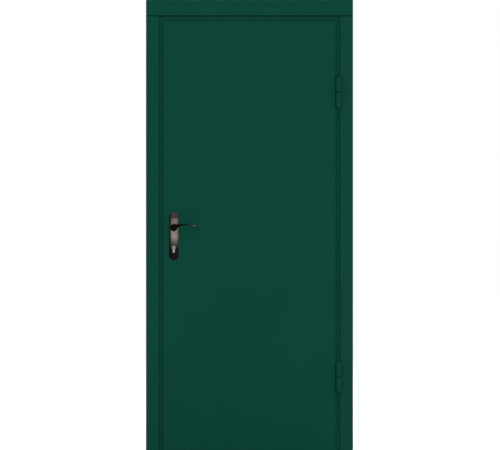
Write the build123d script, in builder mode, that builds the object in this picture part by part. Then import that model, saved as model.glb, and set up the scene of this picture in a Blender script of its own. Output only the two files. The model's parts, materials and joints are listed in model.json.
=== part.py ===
from build123d import *
import os

# Steel entrance door: a folded sheet leaf that laps the front of a tube frame,
# formed sheet architraves, two weld-on barrel hinges and a lever handle set.
# Origin: centre of the underside of the threshold, at the middle of the frame's depth.
# X runs to the right seen from outside, Y into the building, Z up. Millimetres.

# Frame of mitred rectangular tube
frame_width = 860
frame_height = 2050
tube_face = 40
tube_depth = 50
tube_wall = 2
tube_corner = 4

# Architraves of formed sheet, standing on the frame's front face
architrave_width = 60
architrave_top_height = 76
architrave_depth = 12
architrave_sheet = 1.5
architrave_bend = 2.5
jamb_lap = 10
head_lap = 6

# Leaf: a front sheet folded into a flange that laps the frame, and a back sheet folded into a tray
leaf_sheet = 1.5
leaf_bend = 2.5
leaf_thickness = 58
flange_depth = 9
flange_lap = 10
flange_return = 10
hinge_gap = 5
lock_gap = 9
head_gap = 5
foot_gap = 5

# Compressible seal behind the flange
seal_width = 7
seal_clearance = 0.3
seal_inset = 1

# Lock and its fittings
handle_height = 1062
backset = 30
cylinder_drop = 92
case_depth = 42
case_thickness = 16
case_top_margin = 62
case_foot_margin = 58
faceplate_width = 24
faceplate_thickness = 3
faceplate_margin = 14
fitting_clearance = 0.3
latch_rise = 18
latch_height = 20
latch_width = 11
latch_length = 14
latch_proud = 1
bolt_rise = 42
bolt_height = 32
bolt_width = 14
bolt_length = 13
strike_sheet = 1.5
strike_margin = 24
strike_corner = 4
keep_clearance = 2

# Profile cylinder
cylinder_head_radius = 8.5
cylinder_web_width = 10
cylinder_height = 33
cylinder_length = 80
plug_radius = 6.5
plug_depth = 12
keyway_width = 2
keyway_height = 8

# Long handle plates with an arched head and a round foot
plate_width = 44
plate_rise = 71
plate_arch = 25
plate_drop = 151.5
plate_base = 3
panel_rim = 6
panel_rise = 46
panel_arch = 8
panel_height = 5
panel_edge = 1.5
boss_radius = 15
boss_height = 3

# Levers on a square spindle
spindle_width = 8
spindle_clearance = 0.1
journal_radius = 8.4
journal_clearance = 0.05
collar_radius = 17
collar_length = 6
collar_edge = 1.5
hub_radius = 12
hub_standoff = 36
hub_length = 20
hub_edge = 1.5
lever_length = 122
lever_top_rise = 15.5
lever_root_drop = 10
lever_root_run = 48
lever_waist_height = 6
lever_grip_start = 70
lever_belly_reach = 98
lever_belly_rise = 1
lever_tip_rise = -6
lever_tip_width = 4
lever_depth = 14
lever_end_depth = 8
lever_edge = 2

# Barrel hinges
hinge_radius = 12
hinge_half_length = 71
hinge_end_chamfer = 1.5
hinge_pin_radius = 6
hinge_pin_depth = 40
hinge_pin_clearance = 0.08
hinge_end_room = 2
washer_thickness = 4
washer_radius = 9.5
washer_clearance = 0.1
hinge_axis_in = 7.5
hinge_axis_out = 11
hinge_top_drop = 361
hinge_bottom_height = 370
frame_web_width = 8
web_length = 56
leaf_web_depth = 8
leaf_web_inset = 4

# Anchor lugs welded to the outer faces of the jambs
lug_count = 4
lug_pitch = 500
lug_height = 40
lug_thickness = 4
lug_corner = 8
lug_lap = 36
lug_reach = 50
lug_hole_radius = 6
lug_hole_setback = 20

# Places that follow from the sizes above
frame_front = -tube_depth / 2
frame_back = tube_depth / 2
jamb_outer = frame_width / 2
jamb_inner = jamb_outer - tube_face
head_inner = frame_height - tube_face
architrave_front = frame_front - architrave_depth
architrave_inner = jamb_outer - jamb_lap
architrave_outer = architrave_inner + architrave_width
architrave_joint = frame_height - head_lap

leaf_front = architrave_front
leaf_back = leaf_front + leaf_thickness
leaf_middle = (leaf_front + leaf_back) / 2
flange_back = leaf_front + flange_depth
flange_side = jamb_inner + flange_lap
flange_foot = tube_face - flange_lap
flange_head = head_inner + flange_lap
body_left = -jamb_inner + lock_gap
body_right = jamb_inner - hinge_gap
body_foot = tube_face + foot_gap
body_head = head_inner - head_gap
body_width = body_right - body_left
body_height = body_head - body_foot
body_centre = ((body_left + body_right) / 2, (body_foot + body_head) / 2)

lock_x = body_left + backset
cylinder_z = handle_height - cylinder_drop
latch_z = handle_height + latch_rise
bolt_z = cylinder_z + bolt_rise
case_left = body_left + faceplate_thickness
case_head = handle_height + case_top_margin
case_foot = cylinder_z - case_foot_margin
case_middle = (case_head + case_foot) / 2
case_height = case_head - case_foot
faceplate_height = case_height + 2 * faceplate_margin
strike_head = latch_z + latch_height / 2 + strike_margin
strike_foot = bolt_z - bolt_height / 2 - strike_margin

hinge_top_height = frame_height - hinge_top_drop
hinge_x = architrave_inner - hinge_axis_in
hinge_y = leaf_front - hinge_axis_out
plate_face = plate_base + panel_height
boss_face = plate_face + boss_height
lever_standoff = hub_standoff + hub_length / 2
follower_radius = spindle_width / 2**0.5 + fitting_clearance

outer_plane = Plane(origin=(lock_x, leaf_front, handle_height), x_dir=(1, 0, 0), z_dir=(0, -1, 0))
leaf_mirror = Plane.XZ.offset(-leaf_middle)


def front_plane(depth):
    """Upright plane facing outside, with local X to the right and local Y up."""
    return Plane.XZ.offset(-depth)


def frame_tube(outer_length):
    """Tube along X with its outer face on top, both ends cut on the mitre."""
    with BuildPart() as tube:
        with BuildSketch(Plane.YZ.offset(-outer_length / 2)):
            with Locations((0, -tube_face / 2)):
                RectangleRounded(tube_depth, tube_face, tube_corner)
                Rectangle(tube_depth - 2 * tube_wall, tube_face - 2 * tube_wall, mode=Mode.SUBTRACT)
        extrude(amount=outer_length)
        for side in (1, -1):
            mitre = Plane(origin=(side * outer_length / 2, 0, 0), x_dir=(0, 1, 0), z_dir=(side, 0, -1))
            split(bisect_by=mitre, keep=Keep.BOTTOM)
    return tube.part


def profile_outline(clearance=0):
    """Round head with a narrower web below it, grown by the clearance."""
    web_drop = cylinder_height - cylinder_head_radius - cylinder_web_width / 2
    Circle(cylinder_head_radius + clearance)
    with Locations((0, -web_drop / 2)):
        Rectangle(cylinder_web_width + 2 * clearance, web_drop)
    with Locations((0, -web_drop)):
        Circle(cylinder_web_width / 2 + clearance)


cross_tube = frame_tube(frame_width)
upright_tube = frame_tube(frame_height)

with BuildPart() as head_rail:
    with Locations((0, 0, frame_height)):
        add(cross_tube)
head_rail.part.label = "head_rail"

with BuildPart() as threshold:
    with Locations(Location((0, 0, 0), (0, 180, 0))):
        add(cross_tube)
threshold.part.label = "threshold"

with BuildPart() as jamb_right:
    with Locations(Location((jamb_outer, 0, frame_height / 2), (0, 90, 0))):
        add(upright_tube)
jamb_right.part.label = "jamb_right"

# The lock jamb has two keep holes through its inner wall
with BuildPart() as jamb_left:
    with Locations(Location((-jamb_outer, 0, frame_height / 2), (0, -90, 0))):
        add(upright_tube)
    with BuildSketch(Plane.YZ.offset(-jamb_inner - tube_wall)):
        for middle, height, width in (
            (latch_z, latch_height, latch_width),
            (bolt_z, bolt_height, bolt_width),
        ):
            with Locations((leaf_middle, middle)):
                Rectangle(width + 2 * keep_clearance, height + 2 * keep_clearance)
    extrude(amount=tube_wall, mode=Mode.SUBTRACT)
jamb_left.part.label = "jamb_left"

with BuildPart() as strike_plate:
    with BuildSketch(Plane.YZ.offset(-jamb_inner)):
        with Locations((leaf_middle, (strike_head + strike_foot) / 2)):
            plate_blank = Rectangle(faceplate_width, strike_head - strike_foot)
        chamfer(plate_blank.vertices(), strike_corner)
        for middle, height, width in (
            (latch_z, latch_height, latch_width),
            (bolt_z, bolt_height, bolt_width),
        ):
            with Locations((leaf_middle, middle)):
                Rectangle(width + keep_clearance, height + keep_clearance, mode=Mode.SUBTRACT)
    extrude(amount=strike_sheet)
strike_plate.part.label = "strike_plate"


def side_architrave(side):
    """Channel of sheet with its hollow to the wall, open at the floor and at the head joint."""
    across = side * (architrave_inner + architrave_outer) / 2
    with BuildPart() as trim:
        with BuildSketch() as section:
            with Locations((across, (architrave_front + frame_front) / 2)):
                Rectangle(architrave_width, architrave_depth)
            fillet(section.vertices().group_by(Axis.Y)[0], architrave_bend)
        extrude(amount=architrave_joint)
        ends = trim.faces().group_by(Axis.Z)[0] + trim.faces().group_by(Axis.Z)[-1]
        wall_side = trim.faces().group_by(Axis.Y)[-1]
        offset(amount=-architrave_sheet, openings=ends + wall_side)
    return trim


architrave_left = side_architrave(-1)
architrave_left.part.label = "architrave_left"
architrave_right = side_architrave(1)
architrave_right.part.label = "architrave_right"

# The top architrave is folded on all four sides and sits on the ends of the side ones
with BuildPart() as architrave_top:
    with BuildSketch(front_plane(frame_front)):
        with Locations((0, architrave_joint + architrave_top_height / 2)):
            Rectangle(2 * architrave_outer, architrave_top_height)
    extrude(amount=architrave_depth)
    fillet(architrave_top.faces().sort_by(Axis.Y)[0].edges(), architrave_bend)
    offset(amount=-architrave_sheet, openings=architrave_top.faces().sort_by(Axis.Y)[-1])
architrave_top.part.label = "architrave_top"


def anchor_lug(side, height):
    """Strap welded flat on the jamb, with a hole for an anchor behind the frame."""
    with BuildPart() as lug:
        with BuildSketch(Plane.YZ.offset(side * jamb_outer)):
            with Locations((frame_back + (lug_reach - lug_lap) / 2, height)):
                strap = Rectangle(lug_reach + lug_lap, lug_height)
            chamfer(strap.vertices().group_by(Axis.Y)[-1], lug_corner)
            with Locations((frame_back + lug_reach - lug_hole_setback, height)):
                Circle(lug_hole_radius, mode=Mode.SUBTRACT)
        extrude(amount=side * lug_thickness)
    return lug


anchor_lugs = []
lug_lowest = (frame_height - lug_pitch * (lug_count - 1)) / 2
for side, side_name in ((-1, "left"), (1, "right")):
    for number in range(lug_count):
        anchor = anchor_lug(side, lug_lowest + number * lug_pitch)
        anchor.part.label = f"anchor_lug_{side_name}_{number + 1}"
        anchor_lugs.append(anchor)

# Front sheet of the leaf, folded back at its edges and in again behind the flange
with BuildPart() as leaf_skin:
    with BuildSketch(front_plane(leaf_front)):
        with Locations((0, (flange_head + flange_foot) / 2)):
            Rectangle(2 * flange_side, flange_head - flange_foot)
    extrude(amount=-flange_depth)
    fillet(leaf_skin.faces().sort_by(Axis.Y)[0].edges(), leaf_bend)
    offset(amount=-leaf_sheet, openings=leaf_skin.faces().sort_by(Axis.Y)[-1])
    with BuildSketch(front_plane(flange_back - leaf_sheet)):
        with Locations((0, (flange_head + flange_foot) / 2)):
            Rectangle(2 * flange_side - leaf_sheet, flange_head - flange_foot - leaf_sheet)
        with Locations(body_centre):
            Rectangle(body_width - 2 * flange_return, body_height - 2 * flange_return, mode=Mode.SUBTRACT)
    extrude(amount=-leaf_sheet)
    with BuildSketch(outer_plane):
        Circle(journal_radius + fitting_clearance)
        with Locations((0, -cylinder_drop)):
            profile_outline(fitting_clearance)
    extrude(amount=-leaf_sheet, mode=Mode.SUBTRACT)
leaf_skin.part.label = "leaf_skin"

# Back sheet, folded forward on four sides into a tray that is welded to the flange's return
with BuildPart() as leaf_back_panel:
    with BuildSketch(front_plane(flange_back)):
        with Locations(body_centre):
            Rectangle(body_width, body_height)
    extrude(amount=flange_back - leaf_back)
    fillet(leaf_back_panel.faces().sort_by(Axis.Y)[-1].edges(), leaf_bend)
    offset(amount=-leaf_sheet, openings=leaf_back_panel.faces().sort_by(Axis.Y)[0])
    with BuildSketch(Plane(origin=(lock_x, leaf_back, handle_height), x_dir=(1, 0, 0), z_dir=(0, -1, 0))):
        Circle(journal_radius + fitting_clearance)
        with Locations((0, -cylinder_drop)):
            profile_outline(fitting_clearance)
    extrude(amount=leaf_sheet, mode=Mode.SUBTRACT)
    with BuildSketch(Plane.YZ.offset(body_left)):
        with Locations((leaf_middle, case_middle)):
            Rectangle(faceplate_width + 2 * fitting_clearance, faceplate_height + 2 * fitting_clearance)
    extrude(amount=leaf_sheet, mode=Mode.SUBTRACT)
leaf_back_panel.part.label = "leaf_back_panel"

with BuildPart() as leaf_seal:
    with BuildSketch(front_plane(flange_back)):
        with Locations((0, (flange_head + flange_foot) / 2)):
            Rectangle(2 * (flange_side - seal_inset), flange_head - flange_foot - 2 * seal_inset)
            Rectangle(
                2 * (flange_side - seal_inset - seal_width),
                flange_head - flange_foot - 2 * (seal_inset + seal_width),
                mode=Mode.SUBTRACT,
            )
    extrude(amount=flange_back - frame_front + seal_clearance)
leaf_seal.part.label = "leaf_seal"

# Lock case with its follower hole, cylinder hole and the pockets of latch and bolt
with BuildPart() as lock_case:
    with BuildSketch(front_plane(leaf_middle)):
        with Locations((case_left + case_depth / 2, case_middle)):
            Rectangle(case_depth, case_height)
        with Locations((lock_x, handle_height)):
            Circle(follower_radius, mode=Mode.SUBTRACT)
    extrude(amount=case_thickness / 2, both=True)
    with BuildSketch(Plane(origin=(lock_x, leaf_middle, cylinder_z), x_dir=(1, 0, 0), z_dir=(0, -1, 0))):
        profile_outline(fitting_clearance)
    extrude(amount=case_thickness / 2, both=True, mode=Mode.SUBTRACT)
    for middle, height, width, length in (
        (latch_z, latch_height, latch_width, latch_length - latch_proud),
        (bolt_z, bolt_height, bolt_width, bolt_length),
    ):
        with BuildSketch(Plane.YZ.offset(case_left)):
            with Locations((leaf_middle, middle)):
                Rectangle(width + 2 * fitting_clearance, height + 2 * fitting_clearance)
        extrude(amount=length - faceplate_thickness, mode=Mode.SUBTRACT)
lock_case.part.label = "lock_case"

with BuildPart() as lock_faceplate:
    with BuildSketch(Plane.YZ.offset(body_left)):
        with Locations((leaf_middle, case_middle)):
            Rectangle(faceplate_width, faceplate_height)
        for middle, height, width in (
            (latch_z, latch_height, latch_width),
            (bolt_z, bolt_height, bolt_width),
        ):
            with Locations((leaf_middle, middle)):
                Rectangle(width + 2 * fitting_clearance, height + 2 * fitting_clearance, mode=Mode.SUBTRACT)
    extrude(amount=faceplate_thickness)
lock_faceplate.part.label = "lock_faceplate"

# Latch, drawn in, with its bevel on the side that meets the strike
with BuildPart() as latch_bolt:
    with BuildSketch(Plane.XY.offset(latch_z - latch_height / 2)):
        with BuildLine():
            Polyline(
                (body_left - latch_proud + latch_length, leaf_middle - latch_width / 2),
                (body_left - latch_proud, leaf_middle - latch_width / 2),
                (body_left - latch_proud, leaf_middle),
                (body_left - latch_proud + faceplate_thickness, leaf_middle + latch_width / 2),
                (body_left - latch_proud + latch_length, leaf_middle + latch_width / 2),
                close=True,
            )
        make_face()
    extrude(amount=latch_height)
latch_bolt.part.label = "latch_bolt"

with BuildPart() as deadbolt:
    with BuildSketch(Plane.YZ.offset(body_left)):
        with Locations((leaf_middle, bolt_z)):
            Rectangle(bolt_width, bolt_height)
    extrude(amount=bolt_length)
    chamfer(deadbolt.faces().sort_by(Axis.X)[0].edges(), latch_proud)
deadbolt.part.label = "deadbolt"

with BuildPart() as cylinder_body:
    with BuildSketch(Plane(origin=(lock_x, leaf_middle, cylinder_z), x_dir=(1, 0, 0), z_dir=(0, -1, 0))):
        profile_outline()
    extrude(amount=cylinder_length / 2, both=True)
    for end in (-1, 1):
        with BuildSketch(front_plane(leaf_middle + end * cylinder_length / 2)):
            with Locations((lock_x, cylinder_z)):
                Circle(plug_radius + journal_clearance)
        extrude(amount=end * plug_depth, mode=Mode.SUBTRACT)
cylinder_body.part.label = "cylinder_body"

with BuildPart() as cylinder_plug_outer:
    with BuildSketch(front_plane(leaf_middle - cylinder_length / 2)):
        with Locations((lock_x, cylinder_z)):
            Circle(plug_radius)
    extrude(amount=-plug_depth)
    with BuildSketch(front_plane(leaf_middle - cylinder_length / 2)):
        with Locations((lock_x, cylinder_z)):
            Rectangle(keyway_width, keyway_height)
    extrude(amount=-plug_depth / 2, mode=Mode.SUBTRACT)
cylinder_plug_outer.part.label = "cylinder_plug_outer"

with BuildPart() as cylinder_plug_inner:
    add(mirror(cylinder_plug_outer.part, about=leaf_mirror, mode=Mode.PRIVATE))
cylinder_plug_inner.part.label = "cylinder_plug_inner"

# Handle plate: flat base, a raised panel on it and a boss round the lever
with BuildPart() as handle_plate_outer:
    with BuildSketch(outer_plane):
        with BuildLine():
            half = plate_width / 2
            side = Line((half, half - plate_drop), (half, plate_rise - plate_arch))
            TangentArc(side @ 1, (0, plate_rise), tangent=(0, 1))
            mirror(about=Plane.YZ)
            ThreePointArc(side @ 0, (0, -plate_drop), (-half, half - plate_drop))
        make_face()
    extrude(amount=plate_base)
    with BuildSketch(outer_plane.offset(plate_base)):
        with BuildLine():
            half = plate_width / 2 - panel_rim
            side = Line((half, plate_width / 2 - plate_drop), (half, panel_rise - panel_arch))
            mirror(about=Plane.YZ)
            ThreePointArc(side @ 1, (0, panel_rise), (-half, panel_rise - panel_arch))
            ThreePointArc(side @ 0, (0, panel_rim - plate_drop), (-half, plate_width / 2 - plate_drop))
        make_face()
    extrude(amount=panel_height)
    chamfer(handle_plate_outer.faces().sort_by(Axis.Y)[0].edges(), panel_edge)
    with BuildSketch(outer_plane.offset(plate_face)):
        Circle(boss_radius)
    extrude(amount=boss_height)
    with BuildSketch(outer_plane):
        Circle(journal_radius + journal_clearance)
        with Locations((0, -cylinder_drop)):
            profile_outline(fitting_clearance)
    extrude(amount=boss_face, mode=Mode.SUBTRACT)
handle_plate_outer.part.label = "handle_plate_outer"

with BuildPart() as handle_plate_inner:
    add(mirror(handle_plate_outer.part, about=leaf_mirror, mode=Mode.PRIVATE))
handle_plate_inner.part.label = "handle_plate_inner"

# Arm of the lever: level on top, thinned past its root and flared again to a drooping grip
with BuildPart() as lever_arm:
    with BuildSketch(outer_plane.offset(lever_standoff)):
        with BuildLine():
            waist_foot = lever_top_rise - lever_waist_height
            upper = Line((0, lever_top_rise), (lever_grip_start, lever_top_rise))
            crown = TangentArc(upper @ 1, (lever_length, lever_tip_rise), tangent=(1, 0))
            tip = Line(crown @ 1, (lever_length - lever_tip_width, lever_tip_rise - lever_tip_width))
            belly = ThreePointArc(
                tip @ 1, (lever_belly_reach, lever_belly_rise), (lever_grip_start, waist_foot)
            )
            waist = Line(belly @ 1, (lever_root_run, waist_foot))
            root = TangentArc(waist @ 1, (lever_root_drop, -lever_root_drop), tangent=(-1, 0))
            Polyline(root @ 1, (0, -lever_root_drop), (0, lever_top_rise))
        make_face()
    extrude(amount=lever_depth / 2, both=True)
    long_edges = lever_arm.faces().filter_by(Axis.Y).edges().filter_by(Axis.Z, reverse=True)
    chamfer(long_edges, lever_edge)
    with BuildSketch(Plane(origin=(lock_x, leaf_front - lever_standoff, handle_height))):
        with BuildLine():
            half = lever_depth / 2
            end = lever_end_depth / 2
            Polyline(
                (0, half), (lever_grip_start, half), (lever_length, end),
                (lever_length, -end), (lever_grip_start, -half), (0, -half),
                close=True,
            )
        make_face()
    extrude(amount=collar_radius, both=True, mode=Mode.INTERSECT)

# Lever: a turned collar, neck and hub that carry the arm
with BuildPart() as lever_outer:
    with BuildSketch(outer_plane.offset(boss_face + fitting_clearance)):
        Circle(collar_radius)
    extrude(amount=collar_length)
    chamfer(lever_outer.faces().sort_by(Axis.Y)[0].edges(), collar_edge)
    with BuildSketch(outer_plane):
        Circle(journal_radius)
    extrude(amount=hub_standoff)
    with BuildSketch(outer_plane.offset(hub_standoff)):
        Circle(hub_radius)
    extrude(amount=hub_length)
    chamfer(lever_outer.faces().sort_by(Axis.Y)[0].edges(), hub_edge)
    add(lever_arm.part)
    with BuildSketch(outer_plane):
        Rectangle(spindle_width + 2 * spindle_clearance, spindle_width + 2 * spindle_clearance)
    extrude(amount=hub_standoff, mode=Mode.SUBTRACT)
lever_outer.part.label = "lever_outer"

with BuildPart() as lever_inner:
    add(mirror(lever_outer.part, about=leaf_mirror, mode=Mode.PRIVATE))
lever_inner.part.label = "lever_inner"

with BuildPart() as spindle:
    with BuildSketch(Plane(origin=(lock_x, leaf_middle, handle_height), x_dir=(1, 0, 0), z_dir=(0, -1, 0))):
        Rectangle(spindle_width, spindle_width)
    extrude(amount=leaf_thickness / 2 + hub_standoff, both=True)
spindle.part.label = "spindle"


def hinge_half(split_height, way, on_leaf):
    """Barrel on one side of the split, chamfered at its free end, with its weld-on web and pin bore.

    way is 1 for the half above the split and -1 for the half below it.
    """
    start = split_height + way * washer_thickness / 2
    if way > 0:
        start += washer_clearance
    with BuildPart() as half:
        with BuildSketch(Plane.XY.offset(start)):
            with Locations((hinge_x, hinge_y)):
                Circle(hinge_radius)
        extrude(amount=way * hinge_half_length)
        free_end = half.faces().sort_by(Axis.Z)[-1 if way > 0 else 0]
        chamfer(free_end.edges(), hinge_end_chamfer)
        with BuildSketch(Plane.XY.offset(start)):
            with BuildLine():
                if on_leaf:
                    Polyline(
                        (flange_side, leaf_front + leaf_bend),
                        (hinge_x, hinge_y),
                        (hinge_x - leaf_web_inset, leaf_front + leaf_web_depth),
                        (flange_side, leaf_front + leaf_web_depth),
                        close=True,
                    )
                else:
                    Polyline(
                        (hinge_x - frame_web_width, hinge_y),
                        (hinge_x, hinge_y),
                        (hinge_x, frame_front),
                        (hinge_x - frame_web_width, frame_front),
                        close=True,
                    )
            make_face()
        extrude(amount=way * web_length)
        with BuildSketch(Plane.XY.offset(start)):
            with Locations((hinge_x, hinge_y)):
                Circle(hinge_pin_radius + hinge_pin_clearance)
        extrude(amount=way * hinge_pin_depth, mode=Mode.SUBTRACT)
    return half


def hinge_washer(split_height):
    """Ring that carries the upper half on the lower one."""
    with BuildPart() as ring:
        with BuildSketch(Plane.XY.offset(split_height - washer_thickness / 2)):
            with Locations((hinge_x, hinge_y)):
                Circle(washer_radius)
                Circle(hinge_pin_radius + hinge_pin_clearance, mode=Mode.SUBTRACT)
        extrude(amount=washer_thickness)
    return ring


def hinge_pin(split_height):
    """Pin standing on the floor of the lower bore, a little short of the upper one's end."""
    length = 2 * hinge_pin_depth + washer_thickness - hinge_end_room
    with BuildPart() as pin:
        with BuildSketch(Plane.XY.offset(split_height - washer_thickness / 2 - hinge_pin_depth)):
            with Locations((hinge_x, hinge_y)):
                Circle(hinge_pin_radius)
        extrude(amount=length)
    return pin


# The top hinge carries the leaf, and the bottom one is turned over so that the leaf can't be lifted off
hinge_top_frame_half = hinge_half(hinge_top_height, -1, False)
hinge_top_leaf_half = hinge_half(hinge_top_height, 1, True)
hinge_bottom_frame_half = hinge_half(hinge_bottom_height, 1, False)
hinge_bottom_leaf_half = hinge_half(hinge_bottom_height, -1, True)
hinge_top_washer = hinge_washer(hinge_top_height)
hinge_bottom_washer = hinge_washer(hinge_bottom_height)
hinge_top_pin = hinge_pin(hinge_top_height)
hinge_bottom_pin = hinge_pin(hinge_bottom_height)

hinge_top_frame_half.part.label = "hinge_top_frame_half"
hinge_top_leaf_half.part.label = "hinge_top_leaf_half"
hinge_bottom_frame_half.part.label = "hinge_bottom_frame_half"
hinge_bottom_leaf_half.part.label = "hinge_bottom_leaf_half"
hinge_top_washer.part.label = "hinge_top_washer"
hinge_bottom_washer.part.label = "hinge_bottom_washer"
hinge_top_pin.part.label = "hinge_top_pin"
hinge_bottom_pin.part.label = "hinge_bottom_pin"

os.makedirs("parts", exist_ok=True)
frame_pieces = [
    jamb_left, jamb_right, head_rail, threshold, architrave_left, architrave_right, architrave_top,
    strike_plate, *anchor_lugs, hinge_top_frame_half, hinge_bottom_frame_half, hinge_top_washer,
    hinge_top_pin,
]
leaf_pieces = [
    leaf_skin, leaf_back_panel, leaf_seal, lock_case, lock_faceplate, latch_bolt, deadbolt,
    cylinder_body, cylinder_plug_outer, cylinder_plug_inner, handle_plate_outer, handle_plate_inner,
    hinge_top_leaf_half, hinge_bottom_leaf_half, hinge_bottom_washer, hinge_bottom_pin,
]
handle_pieces = [lever_outer, lever_inner, spindle]
for piece in frame_pieces + leaf_pieces + handle_pieces:
    export_step(piece.part, f"parts/{piece.part.label}.step")
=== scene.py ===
import json
import math

import bmesh
import bpy
from mathutils import Matrix, Vector


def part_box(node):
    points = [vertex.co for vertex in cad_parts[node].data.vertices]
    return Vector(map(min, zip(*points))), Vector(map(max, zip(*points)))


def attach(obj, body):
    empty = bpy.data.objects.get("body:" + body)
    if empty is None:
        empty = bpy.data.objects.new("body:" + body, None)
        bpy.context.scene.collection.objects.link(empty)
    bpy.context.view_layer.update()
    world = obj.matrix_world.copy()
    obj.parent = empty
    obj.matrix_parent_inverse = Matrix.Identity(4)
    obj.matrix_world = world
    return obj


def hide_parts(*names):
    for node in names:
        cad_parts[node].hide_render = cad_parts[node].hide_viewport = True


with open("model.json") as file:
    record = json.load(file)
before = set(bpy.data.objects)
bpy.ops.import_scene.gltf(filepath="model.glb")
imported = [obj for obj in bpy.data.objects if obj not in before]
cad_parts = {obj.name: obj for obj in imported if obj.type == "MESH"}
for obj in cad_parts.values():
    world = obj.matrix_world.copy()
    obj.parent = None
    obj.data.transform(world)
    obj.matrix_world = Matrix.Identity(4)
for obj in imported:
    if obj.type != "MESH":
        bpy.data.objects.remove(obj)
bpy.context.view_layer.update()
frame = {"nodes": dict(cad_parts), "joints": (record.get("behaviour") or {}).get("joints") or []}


# Studio
# A wide pale floor under an even white sky, so that the door stands on white from every side, and
# soft lamps that shape the folds of the sheet. The camera stands far off and square to the leaf.
photo_width = 500
photo_height = 450
metres_per_pixel = 0.004636
door_centre_pixel = 249.5
leaf_head_pixel = 21
camera_distance = 12.0
camera_reach = 60.0
floor_size = 60.0
floor_colour = (0.87, 0.87, 0.86, 1)
floor_glow = 0.36
sky_light = 0.74
# Bare metal mirrors a sky that is brighter from the right, as from a window
mirrored_sky_lean = (0.85, 0, 0.3)
mirrored_sky_least = 0.08


def put(tree, kind, **values):
    """Adds a shader node. Each value sets the node's own property of that name, or else its socket."""
    node = tree.nodes.new(kind)
    for name, value in values.items():
        if hasattr(node, name):
            setattr(node, name, value)
        else:
            node.inputs[name.replace("_", " ")].default_value = value
    return node


def combine(tree, operation, first, second=None):
    """The result of a Math node on two entries, each of them a pattern or a number."""
    node = put(tree, "ShaderNodeMath", operation=operation)
    for entry, value in zip(node.inputs, (first, second)):
        if isinstance(value, bpy.types.NodeSocket):
            tree.links.new(value, entry)
        elif value is not None:
            entry.default_value = value
    return node.outputs[0]


def rays(tree, *kinds):
    """1 where the light ray is of one of the kinds, and 0 elsewhere."""
    path = put(tree, "ShaderNodeLightPath")
    factor = path.outputs[kinds[0]]
    for kind in kinds[1:]:
        factor = combine(tree, "MAXIMUM", factor, path.outputs[kind])
    return factor


leaf_low, leaf_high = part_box("leaf_skin")
view_width = photo_width * metres_per_pixel
camera_x = (photo_width / 2 - door_centre_pixel) * metres_per_pixel
camera_z = leaf_high.z - (photo_height / 2 - leaf_head_pixel) * metres_per_pixel
bpy.ops.object.select_all(action="DESELECT")
bpy.ops.object.camera_add(
    location=(camera_x, leaf_low.y - camera_distance, camera_z), rotation=(math.pi / 2, 0, 0)
)
camera = bpy.context.object
camera.data.lens = camera.data.sensor_width * camera_distance / view_width
camera.data.clip_end = camera_reach
bpy.context.scene.camera = camera
bpy.context.scene.view_settings.view_transform = "Standard"

bpy.ops.mesh.primitive_plane_add(size=floor_size, location=(0, 0, 0))
floor = bpy.context.object
floor.name = "studio_floor"
floor_material = bpy.data.materials.new("pale_floor")
floor_material.use_nodes = True
floor_tree = floor_material.node_tree
floor_shader = floor_tree.nodes["Principled BSDF"]
floor_shader.inputs["Base Color"].default_value = floor_colour
floor_shader.inputs["Roughness"].default_value = 0.9
floor_shader.inputs["Specular IOR Level"].default_value = 0.1
floor_shader.inputs["Emission Color"].default_value = (1, 1, 1, 1)
floor_seen = rays(floor_tree, "Is Camera Ray", "Is Transmission Ray", "Is Glossy Ray")
floor_tree.links.new(
    combine(floor_tree, "MULTIPLY", floor_seen, floor_glow), floor_shader.inputs["Emission Strength"]
)
floor.data.materials.append(floor_material)

world = bpy.data.worlds.new("white_studio")
world.use_nodes = True
bpy.context.scene.world = world
sky = world.node_tree
sky.nodes["Background"].inputs["Color"].default_value = (1, 1, 1, 1)
sky_direction = put(sky, "ShaderNodeTexCoord")
sky_lean = put(sky, "ShaderNodeVectorMath", operation="DOT_PRODUCT")
sky_lean.inputs[1].default_value = mirrored_sky_lean
sky.links.new(sky_direction.outputs["Generated"], sky_lean.inputs[0])
sky_leaning = combine(sky, "ADD", sky_lean.outputs["Value"], 1.0)
sky_for_gloss = put(sky, "ShaderNodeMix", A=sky_light)
sky.links.new(rays(sky, "Is Glossy Ray"), sky_for_gloss.inputs["Factor"])
sky.links.new(combine(sky, "MAXIMUM", sky_leaning, mirrored_sky_least), sky_for_gloss.inputs["B"])
sky_strength = put(sky, "ShaderNodeMix", B=1.0)
sky.links.new(rays(sky, "Is Camera Ray", "Is Transmission Ray"), sky_strength.inputs["Factor"])
sky.links.new(sky_for_gloss.outputs[0], sky_strength.inputs["A"])
sky.links.new(sky_strength.outputs[0], sky.nodes["Background"].inputs["Strength"])

for lamp_name, lamp_place, lamp_size, lamp_watts in (
    ("key_lamp", (-2.0, -7.2, 4.2), 2.6, 90),
    ("fill_lamp", (1.4, -6.2, 0.3), 2.2, 112),
    ("back_lamp", (2.8, 5.6, 3.6), 2.6, 110),
):
    aim = Vector((0, 0, camera_z)) - Vector(lamp_place)
    bpy.ops.object.light_add(
        type="AREA", location=lamp_place, rotation=aim.to_track_quat("-Z", "Y").to_euler()
    )
    lamp = bpy.context.object
    lamp.name = lamp_name
    lamp.data.size = lamp_size
    lamp.data.energy = lamp_watts
    lamp.visible_glossy = False


# Tube frame: two jambs, the head rail and the threshold
# Rectangular steel tube, cut on the mitre, welded and ground, and then powder coated with the whole
# frame. The coat is satin, with the slight orange peel that powder leaves as it melts.
paint_deep = (0.0022, 0.0500, 0.0320, 1)
paint_pale = (0.0026, 0.0540, 0.0350, 1)
paint_shine = 0.04
paint_roughness = (0.46, 0.56)
paint_cloud = 2.2
gloss_cloud = 14
orange_peel = 620
peel_height = 0.00006


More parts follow.
